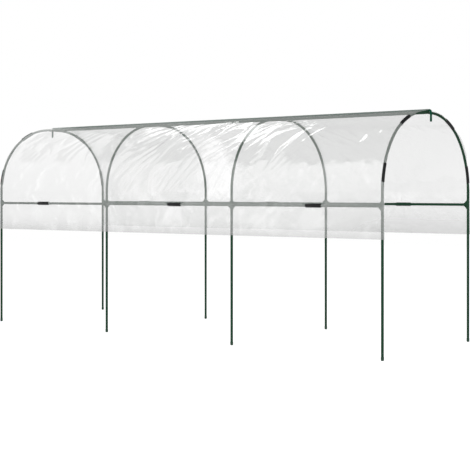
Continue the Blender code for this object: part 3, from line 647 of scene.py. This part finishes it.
# %% Satin finishes
def satin(name, base, variation, grain_mm, roughness, bump_strength, specular):
    """A satin finish with mottled colour and a grain at most a quarter as deep as it is wide."""
    material, tree, output = new_material(name)
    places = put(tree, "ShaderNodeTexCoord").outputs["Object"]
    mottle = put(tree, "ShaderNodeTexNoise", {"Vector": places, "Scale": 9.0, "Detail": 3.0})
    grain = put(tree, "ShaderNodeTexNoise", {"Vector": places, "Scale": 1000 / grain_mm, "Detail": 2.0})
    colour = put(tree, "ShaderNodeMix", {0: mottle, 6: linear(base), 7: linear(variation)}, data_type="RGBA")
    sheen = fade(tree, grain, 0.0, 1.0, low=roughness - 0.08, high=roughness + 0.10, ease="LINEAR")
    bump = put(tree, "ShaderNodeBump", {"Strength": bump_strength, "Distance": grain_mm / 4000,
                                        "Height": grain})
    shader = put(tree, "ShaderNodeBsdfPrincipled", {"Base Color": colour.outputs[2], "Roughness": sheen,
                                                    "Normal": bump, "Specular IOR Level": specular})
    tree.links.new(shader.outputs[0], output.inputs["Surface"])
    return material


powder_coat = satin("baked_powder_coat", "#20412D", "#284A37", 1.2, 0.52, 0.25, 0.06)
rod_coat = satin("green_rod_sleeve", "#114936", "#17533F", 1.5, 0.48, 0.2, 0.06)
moulded_green = satin("moulded_green_plastic", "#22432F", "#2A4B38", 0.9, 0.55, 0.3, 0.10)
moulded_black = satin("moulded_black_plastic", "#141516", "#1B1C1D", 0.9, 0.45, 0.3, 0.20)
foot_vinyl = satin("dipped_vinyl_foot", "#2F4A3A", "#385243", 1.6, 0.55, 0.3, 0.20)
print("five finishes")

# %% [markdown]
# ## Bending tube
# A tube is made the way a bender makes it: a ring of points is pushed along, and spun round the centre
# of each bend. The open skin then gets its wall, so the cut ends show a real tube. Twenty-four points
# round are enough for a tube 15 mm across to look round from close by.

# %% Tube helpers
ROUND = 24
WALL = 0.001


def ring_at(bm, place, radius, axis, closed=False):
    """A ring of points round an axis through place, with a disc in it if the tube's end is closed."""
    turn = Vector((0, 0, 1)).rotation_difference(Vector(axis)).to_matrix().to_4x4()
    made = bmesh.ops.create_circle(bm, cap_ends=closed, segments=ROUND, radius=radius,
                                   matrix=Matrix.Translation(place) @ turn)
    return [edge for edge in bm.edges if all(v in made["verts"] for v in edge.verts)]


def push(bm, ring, move):
    """Draws the ring straight on."""
    grown = bmesh.ops.extrude_edge_only(bm, edges=ring)["geom"]
    bmesh.ops.translate(bm, verts=[g for g in grown if isinstance(g, bmesh.types.BMVert)], vec=move)
    return [g for g in grown if isinstance(g, bmesh.types.BMEdge)]


def bend(bm, ring, centre, axis, angle, steps):
    """Spins the ring round the centre of a bend."""
    verts = list({v for edge in ring for v in edge.verts})
    last = bmesh.ops.spin(bm, geom=verts + ring, cent=centre, axis=axis, dvec=(0, 0, 0), angle=angle,
                          steps=steps, use_duplicate=False)["geom_last"]
    return [g for g in last if isinstance(g, bmesh.types.BMEdge)]


def give_wall(bm, thickness):
    """Turns the open skin outwards and gives it a wall on its inside."""
    bmesh.ops.remove_doubles(bm, verts=bm.verts, dist=1e-6)
    bmesh.ops.recalc_face_normals(bm, faces=bm.faces)
    bmesh.ops.solidify(bm, geom=bm.faces, thickness=thickness)


def half_turn(bm):
    """Turns a front or left piece into its twin at the back or right."""
    bmesh.ops.rotate(bm, verts=bm.verts, cent=(0, 0, 0), matrix=Matrix.Rotation(math.pi, 3, "Z"))


test = bmesh.new()
push(test, ring_at(test, (0, 0, 0), TUBE_RADIUS, (0, 0, 1)), (0, 0, 0.1))
give_wall(test, WALL)
reach = [round(v.co.xy.length, 5) for v in test.verts]
print("wall from", min(reach), "to", max(reach), "volume", round(test.calc_volume() * 1e9, 1), "mm3")
test.free()

# %% Straight tubes: rails, ridge tubes and legs
LEG_FOOT = 0.0035
for name in nodes:
    low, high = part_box(name)
    centre = (low + high) / 2
    if name.startswith(("rail_front", "rail_back", "ridge_tube")):
        bm = bmesh.new()
        ring = ring_at(bm, (low.x, centre.y, centre.z), TUBE_RADIUS, (1, 0, 0))
        push(bm, ring, (high.x - low.x, 0, 0))
        give_wall(bm, WALL)
        add_piece(f"smooth_{name}", bm, powder_coat, node=name)
    elif name.startswith("leg_"):
        bm = bmesh.new()
        ring = ring_at(bm, (centre.x, centre.y, LEG_FOOT), TUBE_RADIUS, (0, 0, 1))
        push(bm, ring, (0, 0, high.z - LEG_FOOT))
        give_wall(bm, WALL)
        add_piece(f"smooth_{name}", bm, powder_coat, node=name)
print("straight tubes done")

# %% Bent tubes: the two halves of each hoop
arch_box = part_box("arch_front_1")
for number, x in enumerate(HOOP_X, 1):
    for side in ("front", "back"):
        bm = bmesh.new()
        ring = ring_at(bm, (0, -HALF_WIDTH, arch_box[0].z), TUBE_RADIUS, (0, 0, 1))
        ring = push(bm, ring, (0, 0, SPRING_HEIGHT - arch_box[0].z))
        ring = bend(bm, ring, SHOULDER_CENTRE, (1, 0, 0), -SHOULDER_ANGLE, 22)
        ring = bend(bm, ring, TOP_CENTRE, (1, 0, 0), -TOP_ARC_ANGLE, 8)
        push(bm, ring, (0, arch_box[1].y + CROWN_STRAIGHT, 0))
        give_wall(bm, WALL)
        if side == "back":
            half_turn(bm)
        bmesh.ops.translate(bm, verts=bm.verts, vec=(x, 0, 0))
        add_piece(f"bent_arch_{side}_{number}", bm, powder_coat, node=f"arch_{side}_{number}")
print("eight bent tubes, each from z", round(arch_box[0].z, 4), "to", round(arch_box[1].z, 4))

# %% [markdown]
# ## Ridge rod
# The rod lies on the crowns and its hooked ends keep the hoops upright. It is three lengths: the middle
# one has necked ends that slip into its neighbours. Each outer length is spun through a quarter turn
# into its hook, whose tip is closed and chamfered.

# %% Rod helper
HOOK_BEND = 0.012
TIP_CHAMFER = 0.0012
SWAGE = 0.0047
SWAGE_GAP = 0.0006
CONE = 0.001
left_low, left_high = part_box("ridge_rod_left")


def widen(bm, ring, factors, about):
    """Scales a ring about a point and hands it on."""
    bmesh.ops.scale(bm, verts=list({v for edge in ring for v in edge.verts}), vec=factors,
                    space=Matrix.Translation(-Vector(about)))
    return ring


print("rod from", round(left_low.x, 4), "joints at", round(left_high.x, 4))

# %% Hooked ends
hook_x = left_low.x + ROD_RADIUS
for side in ("left", "right"):
    bm = bmesh.new()
    ring = ring_at(bm, (hook_x, 0, left_low.z), ROD_RADIUS - TIP_CHAMFER, (0, 0, 1), closed=True)
    growth = ROD_RADIUS / (ROD_RADIUS - TIP_CHAMFER)
    ring = widen(bm, push(bm, ring, (0, 0, TIP_CHAMFER)), (growth, growth, 1), (hook_x, 0, 0))
    ring = push(bm, ring, (0, 0, ROD_HEIGHT - HOOK_BEND - left_low.z - TIP_CHAMFER))
    ring = bend(bm, ring, (hook_x + HOOK_BEND, 0, ROD_HEIGHT - HOOK_BEND), (0, 1, 0), math.pi / 2, 10)
    push(bm, ring, (left_high.x - hook_x - HOOK_BEND, 0, 0))
    give_wall(bm, WALL)
    if side == "right":
        half_turn(bm)
    add_piece(f"hooked_rod_{side}", bm, rod_coat, node=f"ridge_rod_{side}")
print("hooks hang down to", round(left_low.z, 4))

# %% Middle length with its necks
low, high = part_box("ridge_rod_middle")
bm = bmesh.new()
growth = ROD_RADIUS / SWAGE
ring = ring_at(bm, (low.x, 0, ROD_HEIGHT), SWAGE, (1, 0, 0))
ring = push(bm, ring, (left_high.x + SWAGE_GAP - low.x, 0, 0))
ring = widen(bm, push(bm, ring, (CONE, 0, 0)), (1, growth, growth), (0, 0, ROD_HEIGHT))
ring = push(bm, ring, (-2 * (left_high.x + SWAGE_GAP + CONE), 0, 0))
ring = widen(bm, push(bm, ring, (CONE, 0, 0)), (1, 1 / growth, 1 / growth), (0, 0, ROD_HEIGHT))
push(bm, ring, (high.x + left_high.x + SWAGE_GAP, 0, 0))
give_wall(bm, WALL * 0.8)
add_piece("middle_rod", bm, rod_coat, node="ridge_rod_middle")
print("middle length", round(high.x - low.x, 3), "m")

# %% [markdown]
# ## Foot caps
# Each leg ends in a dipped vinyl cap, a cup with a rounded sole and a slight bead round its mouth. It
# is turned: one line of points from the sole's centre to the bead and back inside is spun once round
# the leg.

# %% Turn the caps
cap_line = [(0.0, 0.0), (0.0046, 0.0), (0.0069, 0.0012), (0.0082, 0.0034), (0.0085, 0.0056),
            (0.0085, 0.0180), (0.0088, 0.0186), (0.0088, 0.0196), (0.0084, 0.0202), (0.0077, 0.0202),
            (0.0077, 0.0031), (0.0, 0.0031)]
for name in named("leg_"):
    place = middle(name)
    bm = bmesh.new()
    points = [bm.verts.new((place.x + out, place.y, up)) for out, up in cap_line]
    edges = [bm.edges.new(pair) for pair in zip(points, points[1:])]
    bmesh.ops.spin(bm, geom=points + edges, cent=(place.x, place.y, 0), axis=(0, 0, 1), dvec=(0, 0, 0),
                   angle=2 * math.pi, steps=32, use_merge=True, use_duplicate=False)
    bmesh.ops.remove_doubles(bm, verts=bm.verts, dist=1e-5)
    bmesh.ops.recalc_face_normals(bm, faces=bm.faces)
    add_piece(name.replace("leg", "foot_cap"), bm, foot_vinyl)
print("cap", len(cap_line), "points,", round(max(out for out, up in cap_line) * 2000, 1), "mm across")

# %% [markdown]
# ## Snap clips
# A clip is a length of springy C-section in black plastic. It is pressed over the film and the tube,
# and its two lips flare a little so that it slips on. The section is spun from one point round the
# tube's centre, each lip is drawn on from its end, and the whole line is then pushed along the rail or
# spun round the hoop's bend.

# %% Clip helpers
CLIP_INNER = 0.0086
CLIP_WALL = 0.0013
GRIP = math.radians(95)
LIP = 0.0022
FLARE, FALL = 0.75, 0.45
RIM_ANGLE = 1.2
ROLLED_EDGE = 0.00035


def clip_line(bm, back, side):
    """The C-shaped line round the origin; back is where the clip pulls off to, side is across it."""
    back, side = Vector(back), Vector(side)
    start = bm.verts.new((back * math.cos(GRIP) - side * math.sin(GRIP)) * CLIP_INNER)
    made = bmesh.ops.spin(bm, geom=[start], cent=(0, 0, 0), axis=back.cross(side), dvec=(0, 0, 0),
                          angle=2 * GRIP, steps=20, use_duplicate=False)
    end = [g for g in made["geom_last"] if isinstance(g, bmesh.types.BMVert)][0]
    for corner, sign in ((start, -1), (end, 1)):
        lip = bm.verts.new(corner.co + (side * sign * FLARE - back * FALL).normalized() * LIP)
        bm.edges.new((corner, lip))
    return list(bm.edges)


def finish_clip(bm, name):
    """Turns the skin to face away from the tube, gives it its wall on that side and rolls its edges."""
    bm.normal_update()
    bmesh.ops.recalc_face_normals(bm, faces=bm.faces)
    bmesh.ops.solidify(bm, geom=bm.faces, thickness=-CLIP_WALL)
    bmesh.ops.recalc_face_normals(bm, faces=bm.faces)
    rims = [edge for edge in bm.edges if len(edge.link_faces) == 2 and edge.calc_face_angle() > RIM_ANGLE]
    bmesh.ops.bevel(bm, geom=rims, offset=ROLLED_EDGE, segments=2, profile=0.5, affect="EDGES",
                    material=-1)
    add_piece(f"snap_{name}", bm, moulded_black, body=name, node=name)


print("clip grips", round(2 * math.degrees(GRIP)), "degrees of the tube")

# %% Rail clips
for name in named("rail_clip"):
    low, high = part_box(name)
    bm = bmesh.new()
    line = clip_line(bm, (0, -1, 0), (0, 0, 1))
    push(bm, line, (high.x - low.x, 0, 0))
    bmesh.ops.translate(bm, verts=bm.verts, vec=(low.x, -HALF_WIDTH, RAIL_HEIGHT))
    if "_back_" in name:
        bmesh.ops.translate(bm, verts=bm.verts, vec=(-low.x - high.x, 0, 0))
        half_turn(bm)
    finish_clip(bm, name)
print("rail clips", round((high.x - low.x) * 1000), "mm long")

# %% Hoop clips
REACH = CLIP_INNER + CLIP_WALL


def clip_angles(name):
    """Where a hoop clip starts and ends, as turning angles of the hoop."""
    low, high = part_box(name)
    start = math.asin((low.z - SPRING_HEIGHT) / (SHOULDER_RADIUS - REACH))
    if high.z < SPRING_HEIGHT + SHOULDER_RADIUS * math.sin(SHOULDER_ANGLE):
        return start, math.asin((high.z - SPRING_HEIGHT) / (SHOULDER_RADIUS + REACH))
    return start, math.asin((high.z - TOP_CENTRE.z) / (TOP_RADIUS + REACH))


for name in named("hoop_clip"):
    start, end = clip_angles(name)
    outward_x = 1 if "_right_" in name else -1
    if "_back_" in name:
        outward_x = -outward_x
    bm = bmesh.new()
    line = clip_line(bm, (outward_x, 0, 0), (0, -1, 0))
    bmesh.ops.translate(bm, verts=bm.verts, vec=(outward_x * HALF_LENGTH, -HALF_WIDTH, SPRING_HEIGHT))
    bmesh.ops.rotate(bm, verts=bm.verts, cent=SHOULDER_CENTRE, matrix=Matrix.Rotation(-start, 3, "X"))
    line = bend(bm, line, SHOULDER_CENTRE, (1, 0, 0), start - min(end, SHOULDER_ANGLE), 8)
    if end > SHOULDER_ANGLE:
        bend(bm, line, TOP_CENTRE, (1, 0, 0), SHOULDER_ANGLE - end, 5)
    if "_back_" in name:
        half_turn(bm)
    finish_clip(bm, name)
print("a hoop clip bends through", round(math.degrees(end - start), 1), "degrees")

# %% [markdown]
# ## Connectors
# The connectors are injection moulded: bars that end in plugs, joined by thin webs, with a soft fillet
# wherever two faces meet. Simple bars and plates are put through each other, a voxel remesh melts them
# into one skin, and a little smoothing leaves the fillets that a mould has.

# %% Connector helpers
TUBE_GAP = 0.0003
ARM = arch_box[0].z - RAIL_HEIGHT - TUBE_GAP
CROWN_ARM = -arch_box[1].y - TUBE_GAP
RAIL_ARM_RADIUS = TUBE_RADIUS - 0.0001
PLUG = 0.024
PLUG_RADIUS = 0.0061
WEB_REACH = 0.0355
WEB_THICKNESS = 0.005
WEB_WAIST = 0.93
WEB_BEHIND = 0.0035
VOXEL = 0.0009
ONE_SIDED = {1: (1,), 4: (-1,)}


def bar(bm, centre, axis, radius, length):
    """A round bar with closed ends."""
    turn = Vector((0, 0, 1)).rotation_difference(Vector(axis)).to_matrix().to_4x4()
    bmesh.ops.create_cone(bm, cap_ends=True, segments=32, radius1=radius, radius2=radius, depth=length,
                          matrix=Matrix.Translation(centre) @ turn)


def arms(bm, axis, radius, reach, sides):
    """A bar with a plug at each end, or from the middle to one side only."""
    axis = Vector(axis)
    for length, thickness in ((reach, radius), (reach + PLUG, PLUG_RADIUS)):
        if len(sides) == 2:
            bar(bm, (0, 0, 0), axis, thickness, 2 * length)
        else:
            bar(bm, axis * sides[0] * length / 2, axis, thickness, length)


def web(bm, sides):
    """The plate that fills the corners between the arms, with its four free edges drawn in a little."""
    bmesh.ops.create_circle(bm, cap_ends=True, segments=4, radius=WEB_REACH,
                            matrix=Matrix.Rotation(math.pi / 2, 4, "X"))
    cut = bmesh.ops.subdivide_edges(bm, edges=list(bm.edges), cuts=1)["geom_inner"]
    bmesh.ops.scale(bm, verts=[g for g in cut if isinstance(g, bmesh.types.BMVert)],
                    vec=(WEB_WAIST, 1, WEB_WAIST))
    grown = bmesh.ops.extrude_face_region(bm, geom=list(bm.faces))["geom"]
    bmesh.ops.translate(bm, verts=[g for g in grown if isinstance(g, bmesh.types.BMVert)],
                        vec=(0, WEB_THICKNESS, 0))
    bmesh.ops.translate(bm, verts=bm.verts, vec=(0, -WEB_THICKNESS / 2, 0))
    if len(sides) == 1:
        bmesh.ops.bisect_plane(bm, geom=[*bm.verts, *bm.edges, *bm.faces], plane_no=(-sides[0], 0, 0),
                               plane_co=(-sides[0] * WEB_BEHIND, 0, 0), clear_outer=True)
        bmesh.ops.holes_fill(bm, edges=bm.edges)


def melt(bm, name, centre):
    """Joins the parts into one smooth skin, and puts it in place."""
    bmesh.ops.recalc_face_normals(bm, faces=bm.faces)
    piece = add_piece(f"moulded_{name}", bm, moulded_green, node=name)
    remesh = piece.modifiers.new("melt", "REMESH")
    remesh.mode = "VOXEL"
    remesh.voxel_size = VOXEL
    view = bpy.context.evaluated_depsgraph_get()
    bm = bmesh.new()
    bm.from_mesh(piece.evaluated_get(view).to_mesh())
    piece.modifiers.clear()
    for _ in range(3):
        bmesh.ops.smooth_vert(bm, verts=bm.verts, factor=0.5,
                              use_axis_x=True, use_axis_y=True, use_axis_z=True)
    bmesh.ops.translate(bm, verts=bm.verts, vec=centre)
    for face in bm.faces:
        face.smooth = True
    bm.to_mesh(piece.data)
    bm.free()
    return piece


print("side arms", round(ARM, 4), "crown arms", round(CROWN_ARM, 4))

# %% Side connectors
for number, x in enumerate(HOOP_X, 1):
    sides = ONE_SIDED.get(number, (-1, 1))
    for side, y in (("front", -HALF_WIDTH), ("back", HALF_WIDTH)):
        bm = bmesh.new()
        web(bm, sides)
        arms(bm, (0, 0, 1), TUBE_RADIUS, ARM, (-1, 1))
        arms(bm, (1, 0, 0), RAIL_ARM_RADIUS, ARM, sides)
        piece = melt(bm, f"side_connector_{side}_{number}", (x, y, RAIL_HEIGHT))
print("side connector faces", len(piece.data.polygons))

# %% Crown connectors with their saddle
SADDLE_GAP = 0.0003
SEAT = ROD_RADIUS + SADDLE_GAP
SADDLE_WALL = 0.0018
SADDLE_LENGTH = 0.0154
SADDLE_GRIP = math.radians(107)
for number, x in enumerate(HOOP_X, 1):
    sides = ONE_SIDED.get(number, (-1, 1))
    bm = bmesh.new()
    lip = bm.verts.new((-SADDLE_LENGTH / 2, math.sin(SADDLE_GRIP) * SEAT, -math.cos(SADDLE_GRIP) * SEAT))
    bmesh.ops.spin(bm, geom=[lip], cent=(0, 0, 0), axis=(1, 0, 0), dvec=(0, 0, 0), angle=-2 * SADDLE_GRIP,
                   steps=18, use_duplicate=False)
    push(bm, list(bm.edges), (SADDLE_LENGTH, 0, 0))
    bmesh.ops.recalc_face_normals(bm, faces=bm.faces)
    bmesh.ops.solidify(bm, geom=bm.faces, thickness=-SADDLE_WALL)
    bmesh.ops.translate(bm, verts=bm.verts, vec=(0, 0, ROD_HEIGHT - CROWN_HEIGHT))
    arms(bm, (0, 1, 0), TUBE_RADIUS, CROWN_ARM, (-1, 1))
    arms(bm, (1, 0, 0), RAIL_ARM_RADIUS, CROWN_ARM, sides)
    piece = melt(bm, f"crown_connector_{number}", (x, 0, CROWN_HEIGHT))
print("crown connector faces", len(piece.data.polygons), "box", [round(v, 4) for v in piece.dimensions])
